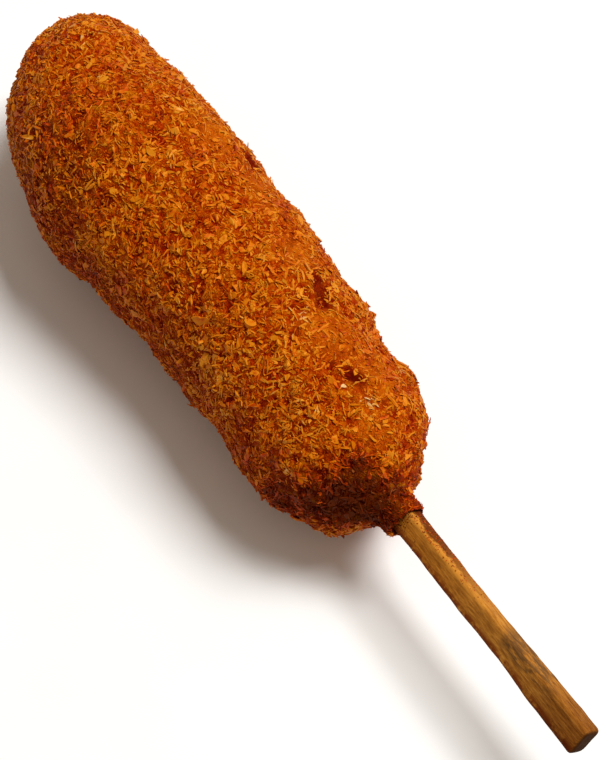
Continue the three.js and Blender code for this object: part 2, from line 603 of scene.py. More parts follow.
@dataclass(frozen=True)
class BatterFinish:
    """Oily batter with fine crumbs baked into it, with painted shade that darkens its deep places.

    Attributes:
        browning: The colours of single baked crumbs.
        hollow_shade: Painted shade that darkens and reddens the batter, from its deepest places to its
            highest.
        seam: The painted shade in the crevice between two baked crumbs.
        oily: The colour of oily patches.
        toast_and_shade: The colour of toasted places and of the painted shade on the lower flank.
        wound: The colour where the batter is torn open.
        golden: The colour where few crumbs cover the batter.
        golden_share: How much of it shows there.
        cells: The sizes of the baked crumbs, each with how dark the painted shade in its seams is.
        tears: The sizes of the waves in the crumbs' outlines, each with how far it reaches.
        seam_width: How wide a seam is and how wide a crumb's slope is, as shares of a crumb.
        patch: The size of an oily patch.
        patchy: Where in the noise such patches begin and are full.
        torn_depth: How deep the torn places lie.
        roughness: How rough the smoothest and the roughest crumbs are.
        rise: How far the baked crumbs stand out.
        rise_share: How much of that shows.
        shine: How strongly the batter reflects.
    """

    browning: Stops = (
        (0.10, (0.390, 0.044, 0.0004, 1)),
        (0.35, (0.490, 0.096, 0.001, 1)),
        (0.60, (0.560, 0.155, 0.002, 1)),
        (0.90, (0.640, 0.230, 0.005, 1)),
    )
    hollow_shade: Stops = (
        (0.20, (0.52, 0.10, 0.02, 1)),
        (0.45, (0.90, 0.50, 0.24, 1)),
        (0.75, (1.00, 1.00, 1.00, 1)),
    )
    seam: Colour = (0.68, 0.34, 0.16, 1)
    oily: Colour = (0.95, 0.82, 0.75, 1)
    toast_and_shade: Colour = (0.22, 0.16, 0.20, 1)
    wound: Colour = (0.42, 0.11, 0.05, 1)
    golden: Colour = (0.640, 0.155, 0.003, 1)
    golden_share: float = 0.5
    cells: tuple[Span, ...] = ((1.5 * MM, 0.9), (0.65 * MM, 0.7))
    tears: tuple[Span, ...] = ((2.2 * MM, 0.9 * MM), (0.7 * MM, 0.35 * MM))
    seam_width: Span = (0.16, 0.3)
    patch: float = 14 * MM
    patchy: Span = (0.45, 0.62)
    torn_depth: float = 1 * MM
    roughness: Span = (0.40, 0.70)
    rise: float = 0.22 * MM
    rise_share: float = 0.8
    shine: float = 0.05

    def material(self) -> bpy.types.Material:
        """Make the material."""
        shader = Shader("browned_batter")
        torn = where = shader.place()
        for size, reach in self.tears:
            torn = shader.bend(torn, size, reach)
        depths, tones = zip(*(shader.cells(torn, size) for size, _ in self.cells))
        tone = shader.overlap(shader.combine("ADD", *tones), 0.5)
        colour = shader.ramp(tone, self.browning)
        seam, slope = self.seam_width
        # Painted shade darkens and reddens the seams between the baked crumbs.
        for depth, (_, darkness) in zip(depths, self.cells):
            colour = shader.multiply(colour, self.seam, shader.window(depth, seam, 0.0, 0.0, darkness))
        # Painted shade: the lower the relief, the darker and redder the batter.
        colour = shader.multiply(colour, shader.ramp(shader.stored(RELIEF), self.hollow_shade))
        patches = shader.window(shader.noise(where, self.patch, 2.0), *self.patchy)
        colour = shader.multiply(colour, self.oily, patches)
        for spot in SMOOTH:
            share = shader.overlap(shader.near(where, spot), self.golden_share)
            colour = shader.blend(colour, self.golden, share)
        # Toasted places, and painted shade on the lower flank.
        for spot in TOAST_AND_FLANK_SHADE:
            colour = shader.multiply(colour, self.toast_and_shade, shader.near(where, spot))
        for spot in BARE:
            colour = shader.multiply(colour, self.wound, shader.near(where, spot, self.torn_depth))
        height = shader.combine("ADD", *(shader.window(depth, 0.0, slope) for depth in depths))
        roughness = shader.window(tones[-1], 0.0, 1.0, *self.roughness)
        shader.paint(colour, roughness, self.shine, FRYING_OIL)
        shader.bump(shader.combine("ADD", height, tone), self.rise, self.rise_share)
        return shader.material


@dataclass(frozen=True)
class CrumbFinish:
    """Fried breadcrumb: U is how far a crumb is browned, V is how much light its place gets.

    Attributes:
        browning: The colours along U, from burnt to pale.
        depth: The painted shade and light along V: darker and redder where V is low, paler and bluer, as
            a painted highlight, where it is high.
        pore: The size of a pore on that map.
        roughness: How rough the smoothest and the roughest places are.
        rise: How far the pores' edges stand out.
        rise_share: How much of that shows.
        shine: How strongly a crumb reflects.
    """

    browning: Stops = (
        (0.00, (0.070, 0.009, 0.0015, 1)),
        (0.14, (0.250, 0.019, 0.0008, 1)),
        (0.26, (0.440, 0.042, 0.0005, 1)),
        (0.45, (0.550, 0.130, 0.001, 1)),
        (0.65, (0.560, 0.162, 0.004, 1)),
        (0.85, (0.580, 0.205, 0.010, 1)),
        (1.00, (0.690, 0.390, 0.140, 1)),
    )
    depth: Stops = (
        (0.00, (0.50, 0.10, 0.02, 1)),
        (0.40, (0.88, 0.42, 0.18, 1)),
        (0.75, (1.00, 0.92, 0.82, 1)),
        (1.00, (1.04, 1.20, 1.60, 1)),
    )
    pore: float = 0.03
    roughness: Span = (0.22, 0.52)
    rise: float = 0.08 * MM
    rise_share: float = 0.5
    shine: float = 0.32

    def material(self) -> bpy.types.Material:
        """Make the material."""
        shader = Shader("fried_crumb")
        chart = shader.chart()
        tone, light, _ = shader.split(chart)
        colour = shader.multiply(shader.ramp(tone, self.browning), shader.ramp(light, self.depth))
        pores = shader.noise(chart, self.pore, 3.0)
        shader.paint(colour, shader.window(pores, *NOISE, *self.roughness), self.shine, FRYING_OIL)
        shader.bump(pores, self.rise, self.rise_share)
        return shader.material


@dataclass(frozen=True)
class WoodFinish:
    """Plain wood, browned by the fryer, with straight grain, stains and a painted highlight along one
    edge.

    The spans say where something begins and is full: along the stick from the middle of the corn dog,
    across or through the stick from its own middle, or in a noise.

    Attributes:
        middle: The middle of the stick.
        turn: The stick's turn about its length.
        grain: The wood's own colours.
        oiled: The golden tint that the oil leaves next to the loaf.
        oiled_along: How far along that tint reaches.
        ridge_highlight: The painted highlight on the edge between the two lit sides.
        ridge_highlight_along: How far along that highlight reaches.
        ridge_highlight_across: How far across it is.
        film: Baked oil on the lit narrow side, furthest along its outer edge.
        film_along: How far along the film reaches.
        film_across: Where the narrow side begins.
        film_deep: How far through the stick's thickness the film reaches.
        film_waves: How far its edge wanders.
        stain: The red-brown stains along the dark lower edge.
        stain_across: How far across they reach.
        stain_blots: Where in the noise they are.
        soot: The grey scorch along the upper edge of the broad side, and the knot.
        soot_begins: Where the scorch begins.
        soot_ends: Where it ends.
        soot_across: How far across it reaches.
        soot_smudges: Where in the noise it is.
        knot: A dark knot.
        darker_end: The darker tint towards the hand end.
        darker_end_along: Where that begins.
        cut: The dark cut across the grain.
        cut_along: Where the cut is.
        streaks: The size of the grain's noise, its detail and its roughness.
        smudges: The same for smudges.
        blots: The same for blots.
        roughness: How rough the palest and the darkest grain are.
        rise: How far the grain stands out.
        rise_share: How much of that shows.
        shine: How strongly the wood reflects.
    """

    middle: Vector
    turn: float
    grain: Stops = (
        (0.28, (0.110, 0.036, 0.005, 1)),
        (0.44, (0.290, 0.104, 0.014, 1)),
        (0.56, (0.450, 0.182, 0.026, 1)),
        (0.74, (0.610, 0.290, 0.055, 1)),
    )
    oiled: Colour = (1.10, 1.00, 0.72, 1)
    oiled_along: Span = (80 * MM, 46 * MM)
    ridge_highlight: Colour = (0.600, 0.245, 0.032, 1)
    ridge_highlight_along: Span = (76 * MM, 62 * MM, 0.0, 0.6)
    ridge_highlight_across: Span = (0.8 * MM, 2.3 * MM)
    film: Colour = (0.125, 0.030, 0.003, 1)
    film_along: Span = (76 * MM, 50 * MM)
    film_across: Span = (2.0 * MM, 2.5 * MM)
    film_deep: Span = (1.6 * MM, 0.5 * MM)
    film_waves: float = 0.8 * MM
    stain: Colour = (0.160, 0.026, 0.003, 1)
    stain_across: Span = (-0.4 * MM, -1.9 * MM)
    stain_blots: Span = (0.38, 0.52, 0.0, 0.9)
    soot: Colour = (0.070, 0.038, 0.018, 1)
    soot_begins: Span = (74 * MM, 79 * MM, 0.0, 0.7)
    soot_ends: Span = (95 * MM, 88 * MM)
    soot_across: Span = (-0.6 * MM, 1.2 * MM)
    soot_smudges: Span = (0.44, 0.56)
    knot: Spot = Spot((78, 0.0, 22.5), 1.3, 0.2)
    darker_end: Colour = (0.56, 0.47, 0.42, 1)
    darker_end_along: Span = (82 * MM, 102 * MM)
    cut: Colour = (0.050, 0.015, 0.002, 1)
    cut_along: Span = (102.3 * MM, 102.75 * MM, 0.0, 0.95)
    streaks: Span = (4 * MM, 6.0, 0.75)
    smudges: Span = (6 * MM, 5.0, 0.65)
    blots: Span = (2.6 * MM, 5.0, 0.65)
    roughness: Span = (0.62, 0.45)
    rise: float = 0.15 * MM
    rise_share: float = 0.7
    shine: float = 0.05

    def local(self, shader: Shader) -> Socket:
        """Give coordinates whose Y runs across the stick's width and Z through its thickness.

        Args:
            shader: The material that needs them.

        Returns:
            The coordinates.
        """
        back = Matrix.Rotation(-self.turn, 3, "X")
        shift = back @ Vector((0, -self.middle.y, -self.middle.z))
        inputs = {"Vector": shader.place(), "Location": shift, "Rotation": (-self.turn, 0, 0)}
        return shader.add("Mapping", inputs).outputs[0]

    def material(self) -> bpy.types.Material:
        """Make the material."""
        shader = Shader("toasted_wood")
        local = self.local(shader)
        streaks = shader.noise(shader.stretch(local, (1, 9, 9)), *self.streaks)
        smudges = shader.noise(shader.stretch(local, (1, 3, 3)), *self.smudges)
        blots = shader.noise(local, *self.blots)
        x, y, z = shader.split(local)
        window, overlap = shader.window, shader.overlap
        colour = shader.ramp(streaks, self.grain)
        colour = shader.multiply(colour, self.oiled, window(x, *self.oiled_along))
        # Painted highlight along the edge between the two lit sides, next to the loaf.
        ridge_highlight = overlap(window(x, *self.ridge_highlight_along), window(y, *self.ridge_highlight_across))
        colour = shader.blend(colour, self.ridge_highlight, ridge_highlight)
        wavy = shader.combine("ADD", z, window(blots, *NOISE, -self.film_waves, self.film_waves))
        film = overlap(
            window(wavy, *self.film_deep), window(y, *self.film_across), window(x, *self.film_along)
        )
        colour = shader.blend(colour, self.film, film)
        stains = overlap(window(y, *self.stain_across), window(blots, *self.stain_blots))
        colour = shader.blend(colour, self.stain, stains)
        scorch = overlap(
            window(x, *self.soot_begins),
            window(x, *self.soot_ends),
            window(smudges, *self.soot_smudges),
            window(y, *self.soot_across),
        )
        colour = shader.blend(colour, self.soot, scorch)
        colour = shader.blend(colour, self.soot, shader.near(shader.place(), self.knot))
        # The stick is darker towards its hand end.
        colour = shader.multiply(colour, self.darker_end, window(x, *self.darker_end_along))
        colour = shader.blend(colour, self.cut, window(x, *self.cut_along))
        shader.paint(colour, window(streaks, *NOISE, *self.roughness), self.shine, FRYING_OIL)
        shader.bump(streaks, self.rise, self.rise_share)
        return shader.material


@dataclass(frozen=True)
class FloorFinish:
    """Matt, almost white board.

    Attributes:
        low: Its darker colour.
        high: Its lighter colour.
        reflected: What darkens it in reflections, as it hardly mirrors in the oil of what lies on it.
        mottle: The size of its soft mottling.
        roughness: How rough its smoothest and its roughest places are.
        tooth: The size of its fine texture.
        rise: How far that stands out.
        rise_share: How much of that shows.
        shine: How strongly it reflects.
    """

    low: Colour = (0.80, 0.80, 0.80, 1)
    high: Colour = (0.84, 0.84, 0.83, 1)
    reflected: Colour = (0.35, 0.35, 0.35, 1)
    mottle: float = 40 * MM
    roughness: Span = (0.85, 0.95)
    tooth: float = 1.5 * MM
    rise: float = 0.05 * MM
    rise_share: float = 0.2
    shine: float = 0.2

    def material(self) -> bpy.types.Material:
        """Make the material."""
        shader = Shader("pale_board")
        where = shader.place()
        mottle = shader.noise(where, self.mottle, 3.0)
        colour = shader.ramp(mottle, tuple(zip(NOISE, (self.low, self.high))))
        colour = shader.multiply(colour, self.reflected, shader.mirrored())
        shader.paint(colour, shader.window(mottle, *NOISE, *self.roughness), self.shine)
        shader.bump(shader.noise(where, self.tooth, 2.0), self.rise, self.rise_share)
        return shader.material


# ---- The loaf ----


@dataclass
class Surface:
    """Places on a skin where crumbs can sit.

    Attributes:
        corners: The three corners of each triangle.
        normals: The outward direction at each of those corners.
        relief: How far out each of those corners is, from 0 to 1.
        area: Each triangle's area.
    """

    corners: np.ndarray
    normals: np.ndarray
    relief: np.ndarray
    area: np.ndarray

    def scatter(self, count: int, draw: np.random.Generator) -> Places:
        """Choose places evenly over the skin.

        Args:
            count: How many places.
            draw: The random numbers.

        Returns:
            The places, the outward directions and the relief there.
        """
        faces = draw.choice(len(self.area), count, p=self.area / self.area.sum())
        a, b = draw.random((2, count, 1))
        fold = a + b > 1
        a, b = np.where(fold, 1 - a, a), np.where(fold, 1 - b, b)
        shares = np.concatenate([1 - a - b, a, b], axis=1)[:, :, None]
        places = (self.corners[faces] * shares).sum(1)
        relief = (self.relief[faces] * shares[:, :, 0]).sum(1)
        return places, unit((self.normals[faces] * shares).sum(1)), relief


@dataclass
class Loaf:
    """The rough skin of batter under the breadcrumbs.

    Attributes:
        node: The CAD node that it replaces.
        slot: The record's material slot. Not used.
        voxel: The size of the skin's mesh.
        sunk: How far the skin lies below the CAD solid, to leave room for crumbs.
        socket_radius: How far from the stick's middle the hole for it reaches.
        socket_ease: How far the hole goes past the stick's end.
        socket_strip: How much of the UV map's height the hole takes.
        dent_depth: How deep a torn place of amount one is.
        collar_from: Where the narrow end round the stick begins.
        collar_share: How much more thickly crumbs lie there.
        swell: The size and the height of the skin's broad waves.
        reliefs: The sizes and the heights of its fine ones.
        relief_range: How far apart the deepest and the highest relief are taken to be.
        finish: What the skin is made of.
        piece: The skin, once it is built.
    """

    node: str = "breaded_loaf"
    slot: str = "fried_crust"
    voxel: float = 0.55 * MM
    sunk: float = 0.7 * MM
    socket_radius: float = 3.85 * MM
    socket_ease: float = 1.5 * MM
    socket_strip: float = 0.03
    dent_depth: float = 0.5 * MM
    collar_from: float = 39 * MM
    collar_share: float = 2.6
    swell: Span = (9 * MM, 1.0 * MM)
    reliefs: tuple[Span, ...] = ((3.2 * MM, 1.1 * MM), (1.3 * MM, 1.1 * MM))
    relief_range: float = 1.1 * MM
    finish: BatterFinish = field(default_factory=BatterFinish)
    piece: bpy.types.Object | None = None

    def build(self) -> None:
        """Make the skin from the CAD loaf and give it relief."""
        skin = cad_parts[self.node].data.copy()
        self.piece = bpy.data.objects.new("batter_skin", skin)
        bpy.context.scene.collection.objects.link(self.piece)
        pick(self.piece)
        bpy.ops.object.mode_set(mode="EDIT")
        bpy.ops.mesh.select_all(action="SELECT")
        bpy.ops.mesh.remove_doubles(threshold=0.001 * MM)
        bpy.ops.mesh.customdata_custom_splitnormals_clear()
        bpy.ops.object.mode_set(mode="OBJECT")
        apply_modifier(self.piece, "REMESH", mode="VOXEL", voxel_size=self.voxel)
        apply_modifier(self.piece, "SMOOTH", factor=0.5, iterations=8)
        roughen(self.piece, *self.swell, self.sunk)
        plain, normals = read_vertices(self.piece.data), read_vertices(self.piece.data, "normal")
        for grain, height in self.reliefs:
            roughen(self.piece, grain, height)
        self.store_relief(plain, normals)
        self.dent()
        self.settle()
        pick(self.piece)
        bpy.ops.object.shade_smooth()
        self.unwrap()

    def store_relief(self, plain: np.ndarray, normals: np.ndarray) -> None:
        """Store with each vertex how far the fine relief has moved it: 0 is in, 1 is out.

        Args:
            plain: Where the vertices were before it.
            normals: The outward directions there.
        """
        mesh = self.piece.data
        moved = ((read_vertices(mesh) - plain) * normals).sum(1)
        values = np.clip(0.5 + (moved - moved.mean()) / self.relief_range, 0, 1)
        layer = mesh.attributes.new(RELIEF, "FLOAT", "POINT")
        layer.data.foreach_set("value", values.astype(np.float32))

    def dent(self) -> None:
        """Push the skin in where the breading is torn off."""
        mesh = self.piece.data
        places, normals = read_vertices(mesh), read_vertices(mesh, "normal")
        depth = self.dent_depth * sum(spot.share(places) for spot in BARE)
        write_vertices(mesh, places - normals * depth[:, None])

    def settle(self) -> None:
        """Press flat what the relief has pushed below the resting surface."""
        mesh = self.piece.data
        places = read_vertices(mesh)
        places[:, 2] = np.maximum(places[:, 2], LOWEST)
        write_vertices(mesh, places)

    def socket(self, places: np.ndarray) -> np.ndarray:
        """Tell which places are inside the hole for the stick.

        Args:
            places: Places on the skin.

        Returns:
            True for each one inside the hole.
        """
        low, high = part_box("stick")
        middle = (low + high) / 2
        apart = np.hypot(places[:, 1] - middle.y, places[:, 2] - middle.z)
        return (apart < self.socket_radius) & (places[:, 0] > low.x - self.socket_ease)

    def unwrap(self) -> None:
        """Unroll the skin round its long axis, with the hole for the stick on a strip of its own."""
        mesh = self.piece.data
        low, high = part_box(self.node)
        middle = (low + high) / 2
        places = read_vertices(mesh)
        loops = read_loops(mesh)
        sizes = np.zeros(len(mesh.polygons), np.int64)
        mesh.polygons.foreach_get("loop_total", sizes)
        owners = np.repeat(np.arange(len(sizes)), sizes)
        centres = np.zeros(len(sizes) * 3)
        mesh.polygons.foreach_get("center", centres)
        centres = centres.reshape(-1, 3)
        turn = np.arctan2(places[:, 2] - middle.z, places[:, 1] - middle.y)[loops]
        at = np.arctan2(centres[:, 2] - middle.z, centres[:, 1] - middle.y)[owners]
        u = UV_MARGIN + (1 - 2 * UV_MARGIN) * part_of_turn(turn, at)
        along = (places[loops, 0] - low.x) / (high.x - low.x)
        v = self.socket_strip + UV_MARGIN + (1 - 2 * UV_MARGIN - self.socket_strip) * along
        inside = self.socket(centres)[owners]
        v = np.where(inside, self.socket_strip * along, v)
        write_uv(mesh, np.stack([u, v], axis=1))

    def surface(self) -> Surface:
        """Give the places on the outside of the skin where crumbs can sit."""
        mesh = self.piece.data
        places, normals = read_vertices(mesh), read_vertices(mesh, "normal")
        corners = read_triangles(mesh)
        corners = corners[~self.socket(places[corners].mean(1))]
        area = triangle_areas(places[corners])
        relief = np.zeros(len(places), np.float32)
        mesh.attributes[RELIEF].data.foreach_get("value", relief)
        area[places[corners][:, :, 0].mean(1) > self.collar_from] *= self.collar_share
        return Surface(places[corners], normals[corners], relief[corners], area)


# ---- Breadcrumbs ----


class CrumbForm(Enum):
    """The plain form that a kind of crumb is broken from."""

    BAR = "bar"
    PLATE = "plate"
    BALL = "ball"


@dataclass(frozen=True)
class CrumbKind:
    """One kind of breadcrumb.

    Attributes:
        name: The piece's name.
        form: The plain form it is broken from.
        sides: How many sides a bar or a plate has.
        cuts: How many times a bar is cut across or a ball is divided, or whether a plate is ringed.
        length: Shortest and longest, in millimetres.
        width: Narrowest and widest, in millimetres.
        thickness: Thinnest and thickest, in millimetres.
        ragged: How far its corners wander, as a share of its size.
        lean: How far it leans out of the surface, in degrees.
        lift: How deep and how high its middle sits, in millimetres.
        curl: How strongly it bends, as a share of its length.
        count: How many there are.
        tone: Its usual browning and how much that varies.
        taper: How strongly a bar narrows towards its ends.
        torn: How far in and how far out the corners of a plate are torn.
        inset: How wide the ring on a plate's upper face is.
    """

    name: str
    form: CrumbForm
    sides: int
    cuts: int
    length: Span
    width: Span
    thickness: Span
    ragged: float
    lean: float
    lift: Span
    curl: float
    count: int
    tone: Span
    taper: float = 1.6
    torn: Span = (0.62, 1.25)
    inset: float = 0.2

    def prototype(self, seed: int) -> tuple[np.ndarray, np.ndarray]:
        """Model one crumb of this kind, one unit long, wide and thick.

        Args:
            seed: Which of its variants.

        Returns:
            Its vertices and its triangles.
        """
        bpy.ops.object.select_all(action="DESELECT")
        if self.form is CrumbForm.BALL:
            bpy.ops.mesh.primitive_ico_sphere_add(subdivisions=self.cuts, radius=0.5)
        else:
            bpy.ops.mesh.primitive_cylinder_add(vertices=self.sides, radius=0.5, depth=1)
        crumb = bpy.context.object
        if self.form is CrumbForm.BAR:
            crumb.rotation_euler = (0, math.pi / 2, 0)
            bpy.ops.object.transform_apply(rotation=True)
        bpy.ops.object.mode_set(mode="EDIT")
        if self.form is CrumbForm.BAR:
            for i in range(self.cuts):
                cut(((i + 1) / (self.cuts + 1) - 0.5, 0, 0), (1, 0, 0))
        if self.form is CrumbForm.PLATE and self.cuts:
            self.face_up(crumb)
        bpy.ops.mesh.select_all(action="SELECT")
        bpy.ops.transform.vertex_random(offset=self.ragged, seed=seed)
        bpy.ops.mesh.quads_convert_to_tris()
        bpy.ops.object.mode_set(mode="OBJECT")
        places, corners = read_vertices(crumb.data), read_triangles(crumb.data)
        bpy.data.objects.remove(crumb)
        if self.form is CrumbForm.BAR:
            places[:, 1:] *= 1 - self.taper * places[:, :1] ** 2
        if self.form is CrumbForm.PLATE:
            torn = np.random.default_rng(seed).uniform(*self.torn, self.sides)
            side = np.arctan2(places[:, 1], places[:, 0]) * self.sides / (2 * math.pi)
            places[:, :2] *= torn[np.round(side).astype(int) % self.sides][:, None]
        return places, corners

    def face_up(self, crumb: bpy.types.Object) -> None:
        """Give a plate an inner ring on its upper face, so that the face can be uneven.

        Args:
            crumb: The plate, in edit mode.
        """
        bpy.ops.mesh.select_all(action="DESELECT")
        bpy.ops.object.mode_set(mode="OBJECT")
        for face in crumb.data.polygons:
            face.select = face.normal.z > 0.9
        bpy.ops.object.mode_set(mode="EDIT")
        bpy.ops.mesh.inset(thickness=self.inset)


# The breadcrumbs, named for what they look like.
BREADCRUMBS = (
    CrumbKind(
        "crumb_scabs", CrumbForm.PLATE, sides=11, cuts=1, count=300,
        length=(1.7, 3.2), width=(1.0, 1.8), thickness=(0.35, 0.60), ragged=0.10,
        lean=7, lift=(-0.25, 0.05), curl=0.30, tone=(0.54, 0.062),
    ),
    CrumbKind(
        "crumb_flakes", CrumbForm.PLATE, sides=8, cuts=0, count=4200,
        length=(0.9, 2.0), width=(0.50, 1.15), thickness=(0.22, 0.45), ragged=0.14,
        lean=15, lift=(-0.24, 0.14), curl=0.40, tone=(0.52, 0.086),
    ),
    CrumbKind(
        "crumb_slivers", CrumbForm.BAR, sides=4, cuts=1, count=9400,
        length=(0.8, 2.1), width=(0.26, 0.62), thickness=(0.22, 0.44), ragged=0.18,
        lean=14, lift=(-0.16, 0.22), curl=0.34, tone=(0.54, 0.094),
    ),
    CrumbKind(
        "crumb_splinters", CrumbForm.BAR, sides=3, cuts=1, count=14000,
        length=(0.5, 1.5), width=(0.22, 0.48), thickness=(0.20, 0.38), ragged=0.18,
        lean=17, lift=(-0.12, 0.22), curl=0.34, tone=(0.54, 0.1),
    ),
    CrumbKind(
        "crumb_nuggets", CrumbForm.BALL, sides=0, cuts=2, count=150,
        length=(0.8, 1.6), width=(0.5, 1.0), thickness=(0.30, 0.55), ragged=0.24,
        lean=14, lift=(-0.32, 0.04), curl=0.10, tone=(0.50, 0.094),
    ),
    CrumbKind(
        "crumb_grains", CrumbForm.BALL, sides=0, cuts=1, count=5200,
        length=(0.30, 0.80), width=(0.22, 0.45), thickness=(0.18, 0.34), ragged=0.26,
        lean=22, lift=(-0.12, 0.22), curl=0.0, tone=(0.52, 0.12),
    ),
    CrumbKind(
        "crumb_shreds", CrumbForm.BAR, sides=3, cuts=3, count=4400,
        length=(1.5, 3.0), width=(0.30, 0.70), thickness=(0.22, 0.42), ragged=0.18,
        lean=8, lift=(-0.12, 0.18), curl=0.36, tone=(0.56, 0.086),
    ),
)

# What has run out of the loaf along the stick and baked hard.
RESIDUE = (
    CrumbKind(
        "batter_drops", CrumbForm.BALL, sides=0, cuts=1, count=1400,
        length=(0.25, 0.85), width=(0.2, 0.5), thickness=(0.15, 0.30), ragged=0.20,
        lean=12, lift=(-0.10, 0.02), curl=0.0, tone=(0.13, 0.12),
    ),
)


@dataclass
class Breading:
    """Crumbs on a surface, one piece for each kind.

    Attributes:
        skin: The places where crumbs can sit.
        kinds: The kinds of crumb.
        node: The CAD node that they replace.
        slot: The record's material slot. Not used.
        seed: What the random numbers start from.
        variants: How many different crumbs each kind has.
        finish: What the crumbs are made of.
        waves: How many waves the patches of browning are made of.
        tightness: How much looser and how much tighter than usual those waves are.
        spare: How many places are tried for each one that is needed.
        spread: How much the crumbs of a kind vary in size.
        palest: The palest that crumbs usually are.
        pale_and_glint_share: How many of them are paler still, as pale crumbs and as painted glints.
        unevenness: The sizes of the patches of browning and how strong they are.
        narrow_from: Where the narrow end of the loaf begins.
        narrow_share: How large the crumbs are there.
        light: How much painted light a crumb's place gets, and how much its height and the relief under
            it add.
        light_range: The least and the most painted light that a place gets.
        light_spread: How much a crumb's light varies.
        upper_side_light: How much more painted light a crumb's upper side gets than its lower side.
        dapple: How much light varies within a crumb.
        mottle: How much browning varies within a crumb.
    """

    skin: Surface
    kinds: tuple[CrumbKind, ...] = BREADCRUMBS
    node: str = "breaded_loaf"
    slot: str = "fried_crust"
    seed: int = 7
    variants: int = 6
    finish: CrumbFinish = field(default_factory=CrumbFinish)
    waves: int = 14
    tightness: Span = (0.6, 1.5)
    spare: float = 1.3
    spread: float = 0.16
    palest: float = 0.75
    pale_and_glint_share: float = 0.0006
    unevenness: tuple[Span, ...] = ((14 * MM, 0.06), (5 * MM, 0.07), (2.5 * MM, 0.07))
    narrow_from: float = 40 * MM
    narrow_share: float = 0.6
    light: tuple[float, float, float] = (0.46, 0.70 / MM, 0.35)
    light_range: Span = (0.25, 0.95)
    light_spread: float = 0.06
    upper_side_light: float = 0.65
    dapple: float = 0.24
    mottle: float = 0.10

    def build(self) -> None:
        """Make every kind's piece."""
        material = self.finish.material()
        for i, kind in enumerate(self.kinds):
            piece = self.make_kind(kind, np.random.default_rng(self.seed + i))
            hand_over(piece, material, self.node)

    def patches(self, places: np.ndarray, size: float, seed: int) -> np.ndarray:
        """Give soft patches over the loaf.

        Args:
            places: Places on the loaf.
            size: How large a patch is.
            seed: Which arrangement of patches.

        Returns:
            A value around zero, about one wide, for each place.
        """
        draw = np.random.default_rng(seed)
        ways = unit(draw.normal(size=(self.waves, 3))) * (math.pi / size)
        ways *= draw.uniform(*self.tightness, (self.waves, 1))
        starts = draw.uniform(0, 2 * math.pi, self.waves)
        return np.sin(places @ ways.T + starts).sum(1) / math.sqrt(self.waves / 2)

    def choose(self, kind: CrumbKind, draw: np.random.Generator) -> Places:
        """Choose where the crumbs of one kind sit: fewer where the loaf is bare.

        Args:
            kind: The kind.
            draw: The random numbers.

        Returns:
            Their places, and the outward directions and the relief there.
        """
        places, ways, relief = self.skin.scatter(int(kind.count * self.spare), draw)
        bare = sum(spot.share(places) for spot in BARE + SMOOTH)
        keep = np.flatnonzero(draw.random(len(places)) > bare)[: kind.count]
        return places[keep], ways[keep], relief[keep]

    def measure(self, kind: CrumbKind, places: np.ndarray, draw: np.random.Generator) -> np.ndarray:
        """Draw the size of each crumb.

        Args:
            kind: The kind.
            places: Where the crumbs sit.
            draw: The random numbers.

        Returns:
            Length, width and thickness of each crumb.
        """
        count = len(places)
        spans = (kind.length, kind.width, kind.thickness)
        sizes = np.stack([draw.uniform(*span, count) for span in spans], axis=1) * MM
        sizes *= draw.lognormal(0, self.spread, (count, 1))
        sizes[places[:, 0] > self.narrow_from] *= self.narrow_share
        return sizes

    def brown(self, kind: CrumbKind, places: np.ndarray, draw: np.random.Generator) -> np.ndarray:
        """Work out how far each crumb is browned.

        Args:
            kind: The kind.
            places: Where the crumbs sit.
            draw: The random numbers.

        Returns:
            A number for each crumb, lower where it is darker.
        """
        count = len(places)
        # Toasted places and the painted shade on the lower flank darken crumbs, as do patches of uneven
        # browning.
        toast_and_shade = sum(spot.share(places) for spot in TOAST_AND_FLANK_SHADE)
        for i, (size, amount) in enumerate(self.unevenness):
            toast_and_shade += amount * self.patches(places, size, self.seed - i)
        usual, varies = kind.tone
        tone = np.minimum(usual + varies * draw.normal(size=count) - toast_and_shade, self.palest)
        # The palest crumbs are partly pale crumbs and partly painted glints.
        tone[draw.random(count) < self.pale_and_glint_share] = 1.0
        return tone + sum(spot.share(places) for spot in PALE_AND_GLINT)

    def make_kind(self, kind: CrumbKind, draw: np.random.Generator) -> bpy.types.Object:
        """Model one kind's variants and set copies of them all over the surface.

        Args:
            kind: The kind.
            draw: The random numbers.

        Returns:
            The piece with every crumb of that kind.
        """
        places, ways, relief = self.choose(kind, draw)
        count = len(places)
        sizes = self.measure(kind, places, draw)
        lift = draw.uniform(*kind.lift, count) * MM
        frames = self.stand(ways, kind.lean, draw)
        tone = self.brown(kind, places, draw)
        # Painted light and shade: crumbs that sit low or over the skin's deep places get less, those
        # that stand high get more.
        usual, by_lift, by_relief = self.light
        light = np.clip(usual + by_lift * lift + by_relief * relief, *self.light_range)
        light += self.light_spread * draw.normal(size=count)
        curl = kind.curl * draw.normal(size=(count, 2))
        points, triangles, charts = [], [], []
        base = 0
        group = draw.integers(0, self.variants, count)
        for variant in range(self.variants):
            mine = group == variant
            shape, corners = kind.prototype(self.seed + variant)
            body = shape[None] * sizes[mine][:, None]
            along = body[:, :, 0] / sizes[mine][:, :1]
            body[:, :, 2] -= np.abs(curl[mine][:, :1]) * sizes[mine][:, :1] * along**2
            body[:, :, 1] += curl[mine][:, 1:] * sizes[mine][:, :1] * along**2
            body = np.einsum("kvj,kji->kvi", body, frames[mine])
            body += (places[mine] + ways[mine] * lift[mine][:, None])[:, None]
            body[:, :, 2] = np.maximum(body[:, :, 2], LOWEST)
